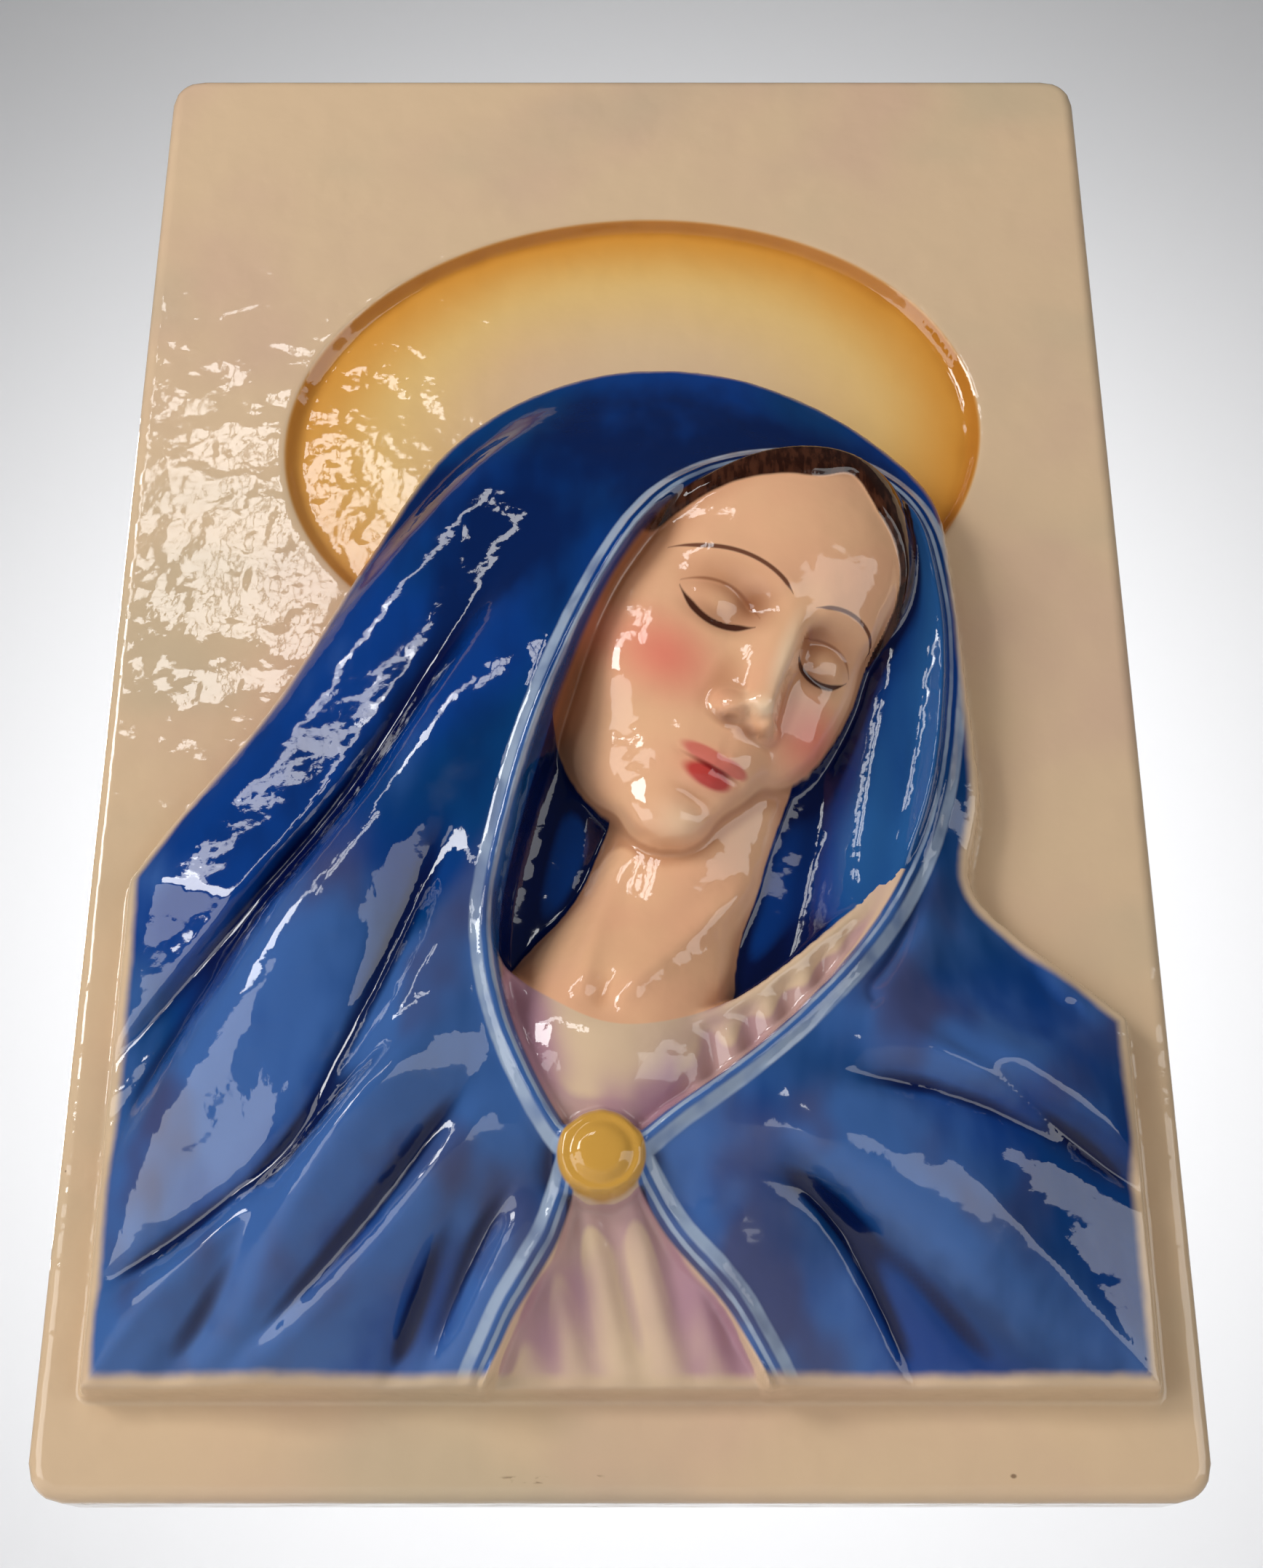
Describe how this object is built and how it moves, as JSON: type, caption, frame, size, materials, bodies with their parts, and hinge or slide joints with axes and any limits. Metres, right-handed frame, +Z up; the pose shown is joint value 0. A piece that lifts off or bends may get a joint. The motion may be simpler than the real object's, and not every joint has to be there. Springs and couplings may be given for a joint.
{
  "type": "decorative wall plaque",
  "caption": "Upright rectangular glazed ceramic wall plaque with a sunk oval halo and a veiled, cloaked figure in relief, hung on a blind hole in its back",
  "frame": {"origin": "on the back's flat rim, at the middle of its top stretch, where the plaque bears on the wall above its hanging hole", "axes": "+X to the right as seen from the front, +Z up, front towards -Y; the wall is the plane Y = 0"},
  "size_m": [0.2, 0.0522, 0.3],
  "materials": {
    "glaze": "thick clear glossy glaze over hand-painted cream, cobalt blue, amber and flesh colours"
  },
  "bodies": {
    "root": {"plaque": "glaze"}
  },
  "joints": []
}
